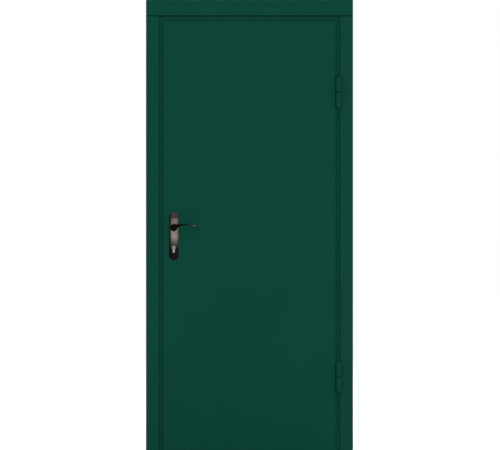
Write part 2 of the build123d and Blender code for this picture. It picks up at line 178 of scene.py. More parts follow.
def new_material(name):
    """A material with its node tree, its Principled shader and its Object coordinates."""
    material = bpy.data.materials.new(name)
    material.use_nodes = True
    tree = material.node_tree
    return material, tree, tree.nodes["Principled BSDF"], put(tree, "ShaderNodeTexCoord").outputs["Object"]


def noise(tree, place, scale, detail=2.0, roughness=0.5):
    """A noise pattern with about that many waves to the metre."""
    grain = put(tree, "ShaderNodeTexNoise", Scale=scale, Detail=detail, Roughness=roughness)
    tree.links.new(place, grain.inputs["Vector"])
    return grain.outputs["Fac"]


def ramp(tree, factor, *stops):
    """A colour ramp over (position, colour) stops."""
    band = put(tree, "ShaderNodeValToRGB")
    while len(band.color_ramp.elements) < len(stops):
        band.color_ramp.elements.new(0.5)
    for element, (position, colour) in zip(band.color_ramp.elements, stops):
        element.position = position
        element.color = colour
    tree.links.new(factor, band.inputs["Fac"])
    return band.outputs["Color"]


def rescale(tree, value, low, high, from_low=0.3, from_high=0.7):
    """Maps from_low to from_high, by default a noise pattern's middle range, onto low to high."""
    spread = put(
        tree, "ShaderNodeMapRange", From_Min=from_low, From_Max=from_high, To_Min=low, To_Max=high
    )
    tree.links.new(value, spread.inputs["Value"])
    return spread.outputs[0]


def relief(tree, shader, height, strength, distance):
    """Raises the surface by a pattern, by as much as distance in metres."""
    bump = put(tree, "ShaderNodeBump", Strength=strength, Distance=distance)
    tree.links.new(height, bump.inputs["Height"])
    tree.links.new(bump.outputs[0], shader.inputs["Normal"])


def powder_coat(name):
    """Satin powder coat: nearly even colour, a little cloudiness in its gloss, and orange peel."""
    material, tree, shader, place = new_material(name)
    shader.inputs["Specular IOR Level"].default_value = paint_shine
    colour = ramp(tree, noise(tree, place, paint_cloud), (0.3, paint_deep), (0.7, paint_pale))
    tree.links.new(colour, shader.inputs["Base Color"])
    gloss = rescale(tree, noise(tree, place, gloss_cloud), *paint_roughness)
    tree.links.new(gloss, shader.inputs["Roughness"])
    relief(tree, shader, noise(tree, place, orange_peel), 0.35, peel_height)
    return material


def coat(material, *names):
    """Gives carried-over CAD nodes their finish."""
    for name in names:
        for slot in frame["nodes"][name].material_slots:
            slot.material = material


door_paint = powder_coat("moss_powder_coat")
coat(door_paint, "jamb_left", "jamb_right", "head_rail", "threshold")


# Architraves: three channels of 1.5 mm sheet on the front of the frame
# Folded on a press brake and spot welded to the tubes. The top one sits on the two sides, held by a
# run of weld inside each joint, and they are coated together with the frame.
# Width, core and depth of the painted shadow along the joints of the architraves
seam_half = 0.0022
seam_core = 0.7
seam_shade = 0.22
tack_radius = 0.0016
tack_depth = 0.0025
tack_inset = 0.0005
tack_proud = 0.2
weld_ripple = 0.0016
weld_end = 0.7
weld_rise = 1.35
weld_dip = 0.87
weld_smooth = 80
merge_distance = 0.00001


def placed(name, stretch=(1, 1, 1)):
    """The primitive just added, named, stretched along its own axes, with its place moved into its mesh."""
    piece = bpy.context.object
    piece.scale = stretch
    bpy.ops.object.transform_apply(location=True, rotation=True, scale=True)
    piece.name = piece.data.name = name
    return piece


def close_up(piece, smooth_angle=40):
    """Merges doubles, turns faces outwards and smooths soft edges, in object mode at the end."""
    bpy.ops.object.mode_set(mode="EDIT")
    bpy.ops.mesh.select_all(action="SELECT")
    bpy.ops.mesh.remove_doubles(threshold=merge_distance)
    bpy.ops.mesh.normals_make_consistent(inside=False)
    bpy.ops.object.mode_set(mode="OBJECT")
    bpy.ops.object.shade_smooth_by_angle(angle=math.radians(smooth_angle))
    return piece


def weld_bead(name, start, end, radius):
    """A run of weld between two points, with the ripples that the torch leaves."""
    start, end = Vector(start), Vector(end)
    run = end - start
    ripples = round(run.length / weld_ripple / 2)
    swells = [weld_rise] + [weld_dip, 1 / weld_dip] * (ripples - 1) + [weld_end]
    bpy.ops.mesh.primitive_circle_add(
        vertices=10, radius=radius * weld_end, fill_type="NGON", location=start,
        rotation=run.to_track_quat("Z", "Y").to_euler(),
    )
    bead = placed(name)
    bpy.ops.object.mode_set(mode="EDIT")
    bpy.ops.mesh.select_all(action="SELECT")
    for step, swell in enumerate(swells, 1):
        bpy.ops.mesh.extrude_region_move(TRANSFORM_OT_translate={"value": run / len(swells)})
        bpy.ops.transform.resize(value=(swell,) * 3, center_override=start + run * (step / len(swells)))
    return close_up(bead, weld_smooth)


def hand_over(piece, material, body, replaced=None):
    """Finishes a new piece: its material, the body that it rides on and what it stands for."""
    piece.data.materials.clear()
    piece.data.materials.append(material)
    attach(piece, body)
    if replaced:
        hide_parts(replaced)
    bpy.ops.object.select_all(action="DESELECT")


def painted_seam_shadow(material, height):
    """Darkens a coat along a level joint: a painted shadow of the groove that the two folds leave."""
    tree = material.node_tree
    shader = tree.nodes["Principled BSDF"]
    colour = shader.inputs["Base Color"].links[0].from_socket
    split = put(tree, "ShaderNodeSeparateXYZ")
    tree.links.new(put(tree, "ShaderNodeTexCoord").outputs["Object"], split.inputs[0])
    away = combine(tree, "ABSOLUTE", combine(tree, "SUBTRACT", split.outputs["Z"], height))
    dim = put(tree, "ShaderNodeVectorMath", operation="SCALE")
    tree.links.new(colour, dim.inputs[0])
    tree.links.new(
        rescale(tree, away, seam_shade, 1.0, seam_half * seam_core, seam_half), dim.inputs["Scale"]
    )
    tree.links.new(dim.outputs[0], shader.inputs["Base Color"])
    return material


joint_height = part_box("architrave_left")[1].z
# The architraves' coat carries a painted shadow along each joint
architrave_paint = painted_seam_shadow(powder_coat("moss_coat_seamed"), joint_height)
coat(architrave_paint, "architrave_left", "architrave_right", "architrave_top")
for side_name in ("left", "right"):
    trim_low, trim_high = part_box(f"architrave_{side_name}")
    tack_place = (trim_low.y + tack_depth, trim_high.z + tack_radius * tack_proud)
    tack = weld_bead(
        f"architrave_{side_name}_tack",
        (trim_low.x + tack_inset, *tack_place),
        (trim_high.x - tack_inset, *tack_place),
        tack_radius,
    )
    hand_over(tack, architrave_paint, "frame")


# Anchor lugs: eight steel straps that hold the frame in the wall
# Cut from flat bar, drilled for an anchor and welded to the outer faces of the jambs with two short
# runs each, then coated with the frame.
lug_bead_radius = 0.0019
lug_weld_front = 0.010
lug_weld_back = 0.008


def joined(name, parts):
    """Several meshes made one piece."""
    bpy.ops.object.select_all(action="DESELECT")
    for part in parts:
        part.select_set(True)
    bpy.context.view_layer.objects.active = parts[0]
    bpy.ops.object.join()
    piece = bpy.context.object
    piece.name = piece.data.name = name
    return piece


for side_name in ("left", "right"):
    jamb_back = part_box(f"jamb_{side_name}")[1].y
    for number in (1, 2, 3, 4):
        lug = f"anchor_lug_{side_name}_{number}"
        coat(door_paint, lug)
        lug_low, lug_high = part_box(lug)
        jamb_face = lug_high.x if side_name == "left" else lug_low.x
        lug_welds = [
            weld_bead(
                f"{lug}_weld",
                (jamb_face, lug_low.y + lug_weld_front, edge),
                (jamb_face, jamb_back - lug_weld_back, edge),
                lug_bead_radius,
            )
            for edge in (lug_low.z, lug_high.z)
        ]
        hand_over(joined(f"{lug}_welds", lug_welds), door_paint, "frame")


# Strike plate: the keep for the latch and the dead bolt on the left jamb
# Stamped from zinc-plated sheet, with two cross-head screws into the tube.
strike_screw_inset = 0.011
screw_radius = 0.0042
screw_crown = 0.0009
screw_sunk = 0.0006
# The head is domed by insets, as shares of its radius, and rises, as shares of its crown
screw_dome = ((0.08, 0.30), (0.22, 0.38), (0.30, 0.22), (0.24, 0.10))
cross_width = 0.0011
cross_reach = 1.15
cross_depth = 1.5
cross_taper = 0.6
grain_height = 0.00003


def brushed_metal(name, dull, bright, roughness, grain_scale, stretch):
    """Bare or plated metal with fine lines along one axis; stretch squeezes the pattern per axis."""
    material, tree, shader, place = new_material(name)
    shader.inputs["Metallic"].default_value = 1.0
    lines = put(tree, "ShaderNodeMapping", Scale=stretch)
    tree.links.new(place, lines.inputs["Vector"])
    grain = noise(tree, lines.outputs[0], grain_scale, detail=3.0)
    cloud = noise(tree, place, 60)
    tree.links.new(ramp(tree, cloud, (0.3, dull), (0.7, bright)), shader.inputs["Base Color"])
    tree.links.new(
        rescale(tree, grain, roughness - 0.06, roughness + 0.08), shader.inputs["Roughness"]
    )
    relief(tree, shader, grain, 0.3, grain_height)
    return material


def select_facing(piece, *directions):
    """In edit mode, selects just the faces that look along one of the directions."""
    bpy.ops.mesh.select_mode(type="FACE")
    mesh = bmesh.from_edit_mesh(piece.data)
    for face in mesh.faces:
        face.select_set(any(face.normal.dot(Vector(direction)) > 0.9 for direction in directions))
    bmesh.update_edit_mesh(piece.data)


def select_only(piece):
    """In object mode, leaves just this piece selected and active."""
    bpy.ops.object.select_all(action="DESELECT")
    piece.select_set(True)
    bpy.context.view_layer.objects.active = piece


def cut(piece, cutter, operation="DIFFERENCE"):
    """Cuts the cutter out of the piece, or joins it on, and deletes the cutter."""
    select_only(piece)
    carve = piece.modifiers.new("carve", "BOOLEAN")
    carve.operation = operation
    carve.solver = "EXACT"
    carve.object = cutter
    bpy.ops.object.modifier_apply(modifier=carve.name)
    bpy.data.objects.remove(cutter)


def cross_head_screw(name, place, facing, radius=screw_radius):
    """A raised countersunk screw head with a cross recess, its rim flush with the surface at place."""
    bpy.ops.mesh.primitive_cylinder_add(
        vertices=28, radius=radius, depth=screw_sunk, location=(0, 0, -screw_sunk / 2)
    )
    head = placed(name)
    bpy.ops.object.mode_set(mode="EDIT")
    select_facing(head, (0, 0, 1))
    for inset, rise in screw_dome:
        bpy.ops.mesh.inset(thickness=radius * inset)
        bpy.ops.transform.translate(value=(0, 0, screw_crown * rise))
    bpy.ops.object.mode_set(mode="OBJECT")
    for turn in (0, math.pi / 2):
        bpy.ops.mesh.primitive_cube_add(
            size=1, location=(0, 0, screw_crown * cross_depth / 2), rotation=(0, 0, turn)
        )
        blade = placed("cross_blade", (radius * cross_reach, cross_width, screw_crown * cross_depth))
        bpy.ops.object.mode_set(mode="EDIT")
        select_facing(blade, (0, 0, -1))
        bpy.ops.transform.resize(value=(cross_taper, cross_taper, 1), center_override=(0, 0, 0))
        bpy.ops.object.mode_set(mode="OBJECT")
        cut(head, blade)
    head.location = place
    head.rotation_euler = Vector(facing).to_track_quat("Z", "Y").to_euler()
    bpy.ops.object.transform_apply(location=True, rotation=True, scale=True)
    return close_up(head)


plated_steel = brushed_metal(
    "zinc_plated_steel", (0.44, 0.45, 0.44, 1), (0.56, 0.57, 0.56, 1), 0.34, 300, (1, 1, 0.08)
)
screw_steel = brushed_metal(
    "screw_steel", (0.36, 0.36, 0.35, 1), (0.50, 0.50, 0.49, 1), 0.36, 700, (1, 1, 1)
)
coat(plated_steel, "strike_plate")
strike_low, strike_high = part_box("strike_plate")
strike_middle = (strike_low.y + strike_high.y) / 2
strike_screws = [
    cross_head_screw("strike_screw", (strike_high.x, strike_middle, height), (1, 0, 0))
    for height in (strike_low.z + strike_screw_inset, strike_high.z - strike_screw_inset)
]
hand_over(joined("strike_screws", strike_screws), screw_steel, "frame")


# Leaf: a front sheet that laps the frame and a back sheet folded into a tray
# Cold-rolled sheet of 1.5 mm, folded, welded together round a filling of mineral wool and coated.
coat(door_paint, "leaf_skin", "leaf_back_panel")


# Seal: a strip of rubber round the back of the leaf's flange
# Extruded EPDM with a low rounded bulb, stuck to the flange in one ring and cut on the mitre.
seal_width = 0.007
seal_round = 0.0011
seal_groove = 0.0009
rubber_dark = (0.010, 0.010, 0.010, 1)
rubber_worn = (0.018, 0.018, 0.017, 1)


def extruded_rubber(name):
    """Matt black rubber, a little uneven in shade, with a fine grain."""
    material, tree, shader, place = new_material(name)
    shader.inputs["Specular IOR Level"].default_value = 0.25
    shade = ramp(tree, noise(tree, place, 90), (0.3, rubber_dark), (0.7, rubber_worn))
    tree.links.new(shade, shader.inputs["Base Color"])
    tree.links.new(rescale(tree, noise(tree, place, 300), 0.66, 0.80), shader.inputs["Roughness"])
    relief(tree, shader, noise(tree, place, 2500), 0.3, grain_height)
    return material


seal_low, seal_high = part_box("leaf_seal")
seal_middle = (seal_low + seal_high) / 2
bpy.ops.mesh.primitive_plane_add(
    size=1, location=(seal_middle.x, seal_low.y, seal_middle.z), rotation=(math.pi / 2, 0, 0)
)
seal = placed("seal_strip", (seal_high.x - seal_low.x, seal_high.z - seal_low.z, 1))
bpy.ops.object.mode_set(mode="EDIT")
bpy.ops.mesh.select_mode(type="FACE")
bpy.ops.mesh.select_all(action="SELECT")
bpy.ops.mesh.inset(thickness=seal_width)
bpy.ops.mesh.delete(type="FACE")
bpy.ops.mesh.select_all(action="SELECT")
bpy.ops.mesh.extrude_region_move(TRANSFORM_OT_translate={"value": (0, seal_high.y - seal_low.y, 0)})
bpy.ops.mesh.select_mode(type="EDGE")
seal_mesh = bmesh.from_edit_mesh(seal.data)
for edge in seal_mesh.edges:
    one_end, other_end = (vertex.co for vertex in edge.verts)
    on_bulb = all(abs(end.y - seal_high.y) < merge_distance for end in (one_end, other_end))
    mitre = min(abs(one_end.x - other_end.x), abs(one_end.z - other_end.z)) >= merge_distance
    edge.select_set(on_bulb and not mitre)
bmesh.update_edit_mesh(seal.data)
bpy.ops.mesh.bevel(offset=seal_round, segments=4)
bpy.ops.mesh.select_mode(type="FACE")
seal_mesh = bmesh.from_edit_mesh(seal.data)
for face in seal_mesh.faces:
    on_top = face.calc_center_median().y > seal_high.y - merge_distance
    face.select_set(face.normal.y > 0.99 and on_top)
bmesh.update_edit_mesh(seal.data)
bpy.ops.mesh.inset(thickness=seal_groove)
bpy.ops.transform.translate(value=(0, -seal_groove / 2, 0))
bpy.ops.object.mode_set(mode="OBJECT")
hand_over(close_up(seal), extruded_rubber("seal_rubber"), "leaf", "leaf_seal")


# Lock: case, faceplate, latch and dead bolt in the edge of the leaf
# The case is folded steel, the faceplate is plated and held by a screw at each end, and a longer
# screw through it holds the cylinder. The latch and the bolt are drawn in.
faceplate_screw_inset = 0.012
cylinder_screw_radius = 0.0033

bare_steel = brushed_metal(
    "bare_steel", (0.36, 0.36, 0.36, 1), (0.48, 0.48, 0.47, 1), 0.38, 420, (1, 1, 0.1)
)
coat(plated_steel, "lock_faceplate")
coat(bare_steel, "lock_case", "latch_bolt", "deadbolt")
plug_low, plug_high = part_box("cylinder_plug_outer")
cylinder_height = (plug_low.z + plug_high.z) / 2
faceplate_low, faceplate_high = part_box("lock_faceplate")
faceplate_middle = (faceplate_low.y + faceplate_high.y) / 2
lock_screws = [
    cross_head_screw("faceplate_screw", (faceplate_low.x, faceplate_middle, height), (-1, 0, 0), radius)
    for height, radius in (
        (faceplate_low.z + faceplate_screw_inset, screw_radius),
        (faceplate_high.z - faceplate_screw_inset, screw_radius),
        (cylinder_height, cylinder_screw_radius),
    )
]
hand_over(joined("faceplate_screws", lock_screws), screw_steel, "leaf")


# Cylinder: a profile cylinder that shows through both handle plates
# Turned and milled brass with a satin nickel plate, brushed up and down. The plug is a separate
# turned piece, a shade darker, with the keyway broached into it.
satin_nickel = brushed_metal(
    "satin_nickel", (0.27, 0.275, 0.275, 1), (0.33, 0.335, 0.335, 1), 0.42, 600, (1, 1, 0.1)
)
plug_nickel = brushed_metal(
    "plug_nickel", (0.16, 0.158, 0.154, 1), (0.22, 0.217, 0.212, 1), 0.34, 900, (1, 1, 1)
)
coat(satin_nickel, "cylinder_body")
coat(plug_nickel, "cylinder_plug_outer", "cylinder_plug_inner")


# Handle plates: the long plates that carry the levers and frame the cylinder
# Die-cast zinc in an antique copper finish: plated, blackened, then rubbed bright on the raised
# panel and, less, on the rim under the hand. The inner plate has the two screws.
def joint_place(name):
    """The point that one of the frame's joints turns about."""
    return next(joint["pos_m"] for joint in frame["joints"] if joint["name"] == name)


plate_low, plate_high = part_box("handle_plate_outer")
axis_x, _, axis_z = joint_place("handle_turn")
plate_half = (plate_high.x - plate_low.x) / 2
plate_foot = plate_low.z - axis_z
plate_tip = plate_high.z - axis_z
plate_back = plate_high.y
plate_arch = 0.025
plate_base = 0.0030
plate_side = 0.0014
panel_rim = 0.0055
panel_half = plate_half - panel_rim
panel_foot = plate_foot + panel_rim
panel_shoulder = 0.0375
panel_top = 0.0455
panel_crown = 0.0008
crest_foot = 0.020
crest_arch = plate_arch * 0.78
crest_groove = 0.0026
crest_crown = 0.0006
# Each relief has its rise, the share of it that is upright wall, and its (inset, share of rise) steps
rim_rise = 0.0024
rim_steps = ((0.0005, 0.32), (0.0010, 0.28), (0.0014, 0.24), (0.0017, 0.16))
panel_height = 0.0042
panel_wall = 0.35
panel_steps = ((0.0004, 0.30), (0.0007, 0.20), (0.0010, 0.11), (0.0013, 0.04))
crest_height = 0.0032
crest_wall = 0.30
crest_steps = ((0.0005, 0.34), (0.0010, 0.22), (0.0014, 0.10), (0.0016, 0.04))
crown_strips = 6
boss_radius = 0.0150
boss_front = 0.0110
boss_edge = 0.0012
spindle_bore = 0.0065
hole_clearance = 0.0003
cylinder_web_half = 0.005
cut_behind = 0.002
cut_before = 0.012
cutter_depth = 0.04
arc_steps = 12
cast_smooth = 35
plate_screw_radius = 0.0036
plate_screw_below = 0.006
plate_screw_above = 0.014
plate_screw_seat = 0.95
# The rim away from the grip is darkened as painted shade; the rim near the grip is rubbed less than the
# panel
far_rim_painted_shade = 0.16
near_rim_wear = 0.62
# Towards the head and the foot the copper is dimmed, partly patina and partly a painted reflection
head_tone_and_reflection = 0.74
crest_wear = 0.56
# The bands that the wear, the painted shade and the painted reflection fade in, across from the lever's
# axis and up from the floor
far_rim_shade_band = (-panel_half - 0.0005, 0.006 - panel_half)
near_rim_fade = (panel_half - 0.004, panel_half + 0.002)
foot_patina_and_reflection_band = (axis_z - 0.100, axis_z - 0.045)
head_tone_and_reflection_band = (axis_z - 0.010, axis_z + 0.032)
crest_fade = (axis_z + panel_top - 0.005, axis_z + panel_top)
brushing_height = 0.00004
copper_patina = (0.010, 0.008, 0.0085, 1)
copper_dull = (0.048, 0.037, 0.035, 1)
copper_rubbed = (0.152, 0.127, 0.116, 1)
copper_bright = (0.27, 0.225, 0.208, 1)


def antique_copper(name):
    """Copper rubbed bright down the panel, darker at its head and foot, partly patina and partly a painted
    reflection, and with painted shade along the rim away from the grip.
    """
    material, tree, shader, place = new_material(name)
    shader.inputs["Metallic"].default_value = 1.0
    split = put(tree, "ShaderNodeSeparateXYZ")
    tree.links.new(place, split.inputs[0])
    lines = put(tree, "ShaderNodeMapping", Scale=(1, 1, 0.06))
    tree.links.new(place, lines.inputs["Vector"])
    brushed = noise(tree, lines.outputs[0], 700, detail=3.0)
    blotch = noise(tree, place, 55, detail=4.0, roughness=0.6)
    aside = combine(tree, "SUBTRACT", split.outputs["X"], axis_x)
    up = split.outputs["Z"]
    # Wear together with painted light: painted shade on the far rim and a painted reflection up and down
    # the panel
    wear_and_painted_light = rescale(tree, aside, far_rim_painted_shade, 1.0, *far_rim_shade_band)
    for share in (
        rescale(tree, aside, 1.0, near_rim_wear, *near_rim_fade),
        # Patina with a painted reflection: dimmer towards the foot and, less, towards the head
        rescale(tree, up, 0.0, 1.0, *foot_patina_and_reflection_band),
        rescale(tree, up, 1.0, head_tone_and_reflection, *head_tone_and_reflection_band),
        rescale(tree, up, 1.0, crest_wear, *crest_fade),
        rescale(tree, blotch, 0.8, 1.05),
    ):
        wear_and_painted_light = combine(tree, "MULTIPLY", wear_and_painted_light, share)
    colour = ramp(
        tree, wear_and_painted_light, (0.0, copper_patina), (0.35, copper_dull), (0.7, copper_rubbed), (1.0, copper_bright)
    )
    tree.links.new(colour, shader.inputs["Base Color"])
    tree.links.new(rescale(tree, brushed, 0.30, 0.44), shader.inputs["Roughness"])
    relief(tree, shader, brushed, 0.25, brushing_height)
    return material


def start_outline(name, x, z, depth):
    """A single point in an upright plane, at x and z from the lever's axis, ready to draw from."""
    bpy.ops.mesh.primitive_plane_add(size=0.001, location=(axis_x + x, depth, axis_z + z))
    placed(name)
    bpy.ops.object.mode_set(mode="EDIT")
    bpy.ops.mesh.select_mode(type="VERT")
    bpy.ops.mesh.select_all(action="SELECT")
    bpy.ops.mesh.merge(type="CENTER")


def draw_line(dx, dz):
    """Carries the line on by a straight stretch."""
    bpy.ops.mesh.extrude_region_move(TRANSFORM_OT_translate={"value": (dx, 0, dz)})


def draw_arc(x, z, depth, degrees, steps=arc_steps):
    """Carries the line on round a centre, anticlockwise seen from the front."""
    bpy.ops.mesh.spin(
        steps=steps, angle=math.radians(degrees), center=(axis_x + x, depth, axis_z + z), axis=(0, 1, 0)
    )


def fill_outline():
    """Closes the drawn line with one face, turned to the front."""
    bpy.ops.mesh.select_all(action="SELECT")
    bpy.ops.mesh.remove_doubles(threshold=10 * merge_distance)
    bpy.ops.mesh.edge_face_add()
    bpy.ops.mesh.select_mode(type="FACE")
    mesh = bmesh.from_edit_mesh(bpy.context.object.data)
    for face in mesh.faces:
        if face.normal.y > 0:
            face.normal_flip()
        face.select_set(True)
    bmesh.update_edit_mesh(bpy.context.object.data)


def raise_face(wall, rise=0, steps=()):
    """Extrudes the filled outline to the front by wall, then rounds it by (inset, share of rise) steps."""
    bpy.ops.mesh.extrude_region_move(TRANSFORM_OT_translate={"value": (0, -wall, 0)})
    for inset, share in steps:
        bpy.ops.mesh.inset(thickness=inset)
        bpy.ops.transform.translate(value=(0, -rise * share, 0))
    bpy.ops.object.mode_set(mode="OBJECT")
    return close_up(bpy.context.object)


def pointed_outline(name, half, foot, tip, rise, depth):
    """Upright outline with a round foot and a pointed arch whose arcs are tangent to the sides."""
    shoulder = tip - rise
    arch_radius = (half**2 + rise**2) / (2 * half)
    arch_angle = math.degrees(math.atan2(rise, arch_radius - half))
    start_outline(name, -half, foot + half, depth)
    draw_arc(0, foot + half, depth, 180, 2 * arc_steps)
    draw_line(0, shoulder - foot - half)
    draw_arc(half - arch_radius, shoulder, depth, arch_angle)
    draw_arc(arch_radius - half, shoulder, depth, arch_angle)
    fill_outline()


def low_arch(half, shoulder, top):
    """Radius and centre height of the arc through both shoulders and the top."""
    radius = (half**2 + (top - shoulder) ** 2) / (2 * (top - shoulder))
    return radius, top - radius


def panel_outline(name, half, foot, shoulder, top, depth):
    """Upright outline with a round foot and one low arch across its head."""
    arch_radius, arch_z = low_arch(half, shoulder, top)
    start_outline(name, -half, foot + half, depth)
    draw_arc(0, foot + half, depth, 180, 2 * arc_steps)
    draw_line(0, shoulder - foot - half)
    draw_arc(0, arch_z, depth, 2 * math.degrees(math.asin(half / arch_radius)), 2 * arc_steps)
    fill_outline()


def crown(piece, half, rise):
    """Cuts the piece's flat top into upright strips and lifts them towards the middle."""
    top = min(vertex.co.y for vertex in piece.data.vertices)
    bpy.ops.object.mode_set(mode="EDIT")
    for strip in range(1 - crown_strips, crown_strips):
        bpy.ops.mesh.select_all(action="SELECT")
        bpy.ops.mesh.bisect(plane_co=(axis_x + half * strip / crown_strips, 0, 0), plane_no=(1, 0, 0))
    bpy.ops.object.mode_set(mode="OBJECT")
    for vertex in piece.data.vertices:
        if vertex.co.y < top + merge_distance:
            vertex.co.y -= rise * (1 - ((vertex.co.x - axis_x) / half) ** 2)


def turned_disc(name, radius, front, thick, edge):
    """A turned disc on the lever's axis, reaching from front back by thick, with rounded rims."""
    bpy.ops.mesh.primitive_cylinder_add(
        vertices=64, radius=radius, depth=thick, rotation=(math.pi / 2, 0, 0),
        location=(axis_x, plate_back - front + thick / 2, axis_z),
    )
    disc = placed(name)
    bpy.ops.object.mode_set(mode="EDIT")
    select_facing(disc, (0, -1, 0), (0, 1, 0))
    bpy.ops.mesh.bevel(offset=edge, segments=3)
    bpy.ops.object.mode_set(mode="OBJECT")
    return close_up(disc)


def round_cutter(name, radius, height, vertices):
    """A bar through the plate, at a height over the lever's axis, to cut a round hole or edge."""
    bpy.ops.mesh.primitive_cylinder_add(
        vertices=vertices, radius=radius, depth=cutter_depth, rotation=(math.pi / 2, 0, 0),
        location=(axis_x, plate_back, axis_z + height),
    )
    return placed(name)


def cylinder_cutter():
    """A bar through the plate with the profile of the cylinder and a little room round it."""
    cylinder_low, cylinder_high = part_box("cylinder_body")
    head = (cylinder_high.x - cylinder_low.x) / 2 + hole_clearance
    web = cylinder_web_half + hole_clearance
    head_z = cylinder_height - axis_z
    web_z = cylinder_low.z - axis_z + cylinder_web_half
    neck_z = head_z - math.sqrt(head**2 - web**2)
    depth = plate_back + cut_behind
    start_outline("cylinder_cutter", -web, web_z, depth)
    draw_arc(0, web_z, depth, 180)
    draw_line(0, neck_z - web_z)
    draw_arc(0, head_z, depth, 360 - 2 * math.degrees(math.asin(web / head)), 3 * arc_steps)
    fill_outline()
    return raise_face(cut_behind + cut_before)


def handle_plate():
    """The outer plate: base, panel, crest and boss made one, with its two holes cut through."""
    pointed_outline("handle_plate_outer_cast", plate_half, plate_foot, plate_tip, plate_arch, plate_back)
    base = raise_face(plate_side, rim_rise, rim_steps)
    seat = plate_back - plate_side
    buried = plate_base - plate_side
    panel_outline("plate_panel", panel_half, panel_foot, panel_shoulder, panel_top, seat)
    panel = raise_face(buried + panel_height * panel_wall, panel_height, panel_steps)
    crown(panel, panel_half, panel_crown)
    pointed_outline("plate_crest", panel_half, crest_foot, plate_tip - panel_rim, crest_arch, seat)
    crest = raise_face(buried + crest_height * crest_wall, crest_height, crest_steps)
    crown(crest, panel_half, crest_crown)
    arch_radius, arch_z = low_arch(panel_half, panel_shoulder, panel_top)
    cut(crest, round_cutter("crest_cutter", arch_radius + crest_groove, arch_z, vertices=128))
    boss = turned_disc("plate_boss", boss_radius, boss_front, boss_front - plate_side, boss_edge)
    for part in (panel, crest, boss):
        cut(base, part, "UNION")
    cut(base, cylinder_cutter())
    cut(base, round_cutter("spindle_bore", spindle_bore, 0, vertices=48))
    return close_up(base, cast_smooth)


def mirrored(piece, name):
    """A copy of an outer piece on the inner side of the leaf."""
    leaf_middle = (leaf_low.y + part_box("leaf_back_panel")[1].y) / 2
    twin = piece.copy()
    twin.data = piece.data.copy()
    twin.name = twin.data.name = name
    bpy.context.scene.collection.objects.link(twin)
    twin.data.transform(
        Matrix.Translation((0, 2 * leaf_middle, 0)) @ Matrix.Scale(-1, 4, (0, 1, 0))
    )
    select_only(twin)
    return close_up(twin, cast_smooth)


plate_copper = antique_copper("antique_copper_plate")
outer_plate = handle_plate()
inner_plate = mirrored(outer_plate, "handle_plate_inner_cast")
hand_over(outer_plate, plate_copper, "leaf", "handle_plate_outer")
hand_over(inner_plate, plate_copper, "leaf", "handle_plate_inner")
panel_front = plate_base + panel_height + panel_crown * plate_screw_seat
inner_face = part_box("handle_plate_inner")[0].y + panel_front
plate_screws = [
    cross_head_screw("plate_screw", (axis_x, inner_face, axis_z + height), (0, 1, 0), plate_screw_radius)
    for height in (panel_shoulder - plate_screw_below, panel_foot + plate_screw_above)
]
hand_over(joined("plate_screws", plate_screws), screw_steel, "leaf")


# Levers: the two grips on one square spindle
# Cast and blackened, with a painted highlight on top of the bend. Each has a turned collar and a
# short neck under a round hub, from which a flat arm runs out and flares into a drooping grip.
collar_radius = 0.017
collar_seat = 0.0113
collar_thick = 0.0055
collar_edge = 0.0018
neck_radius = 0.0084
neck_edge = 0.0004
hub_radius = 0.012
hub_front = 0.056
hub_thick = 0.020
hub_edge = 0.0022
lever_plane = plate_back - 0.046
lever_reach = 0.122
arm_smooth = 80
# Stations along the arm: reach from the axis, top and foot over the axis, and depth
arm_stations = (
    (0.000, 0.0164, -0.0100, 0.0135),
    (0.010, 0.0166, -0.0095, 0.0140),
    (0.020, 0.0168, -0.0002, 0.0142),
    (0.032, 0.0168, 0.0070, 0.0142),
    (0.046, 0.0168, 0.0104, 0.0140),
    (0.062, 0.0168, 0.0108, 0.0136),
    (0.076, 0.0168, 0.0094, 0.0134),
    (0.088, 0.0156, 0.0058, 0.0128),
    (0.100, 0.0120, 0.0008, 0.0116),
    (0.110, 0.0066, -0.0046, 0.0102),
    (0.118, -0.0002, -0.0094, 0.0086),
    (0.1215, -0.0048, -0.0098, 0.0060),
)
# The patina thins from this reach on, with a painted highlight on top of the bend; low on the arm the
# ramp reads further on, wholly below the foot and not at all above the top, painting the underside darker
patina_and_highlight_reach = 0.060
painted_underside_shift = 0.016
painted_underside_foot = 0.003
painted_underside_top = 0.009


def blackened_copper(name):
    """Nearly black patina that thins along the grip, with a painted highlight on top of its bend."""
    material, tree, shader, place = new_material(name)
    shader.inputs["Metallic"].default_value = 1.0
    split = put(tree, "ShaderNodeSeparateXYZ")
    tree.links.new(place, split.inputs[0])
    uneven = rescale(tree, noise(tree, place, 120, 3.0), -0.002, 0.002)
    # Painted shade: low on the arm the ramp reads further on, past the painted highlight
    painted_underside_shade = rescale(
        tree, split.outputs["Z"], painted_underside_shift, 0.0, axis_z + painted_underside_foot, axis_z + painted_underside_top
    )
    reach = combine(tree, "ADD", combine(tree, "ADD", split.outputs["X"], uneven), painted_underside_shade)
    # The two brightest stops are a painted highlight; the stops after them are darker
    colour = ramp(
        tree, rescale(tree, reach, 0.0, 1.0, axis_x + patina_and_highlight_reach, axis_x + lever_reach),
        (0.0, (0.0065, 0.0040, 0.0030, 1)), (0.26, (0.026, 0.031, 0.029, 1)),
        (0.50, (0.038, 0.046, 0.043, 1)), (0.67, (0.084, 0.103, 0.096, 1)),
        (0.76, (0.076, 0.094, 0.088, 1)), (0.88, (0.030, 0.037, 0.035, 1)),
        (1.0, (0.020, 0.025, 0.023, 1)),
    )
    tree.links.new(colour, shader.inputs["Base Color"])
    grain = noise(tree, place, 900)
    tree.links.new(rescale(tree, grain, 0.30, 0.42), shader.inputs["Roughness"])
    relief(tree, shader, grain, 0.15, grain_height)
    return material


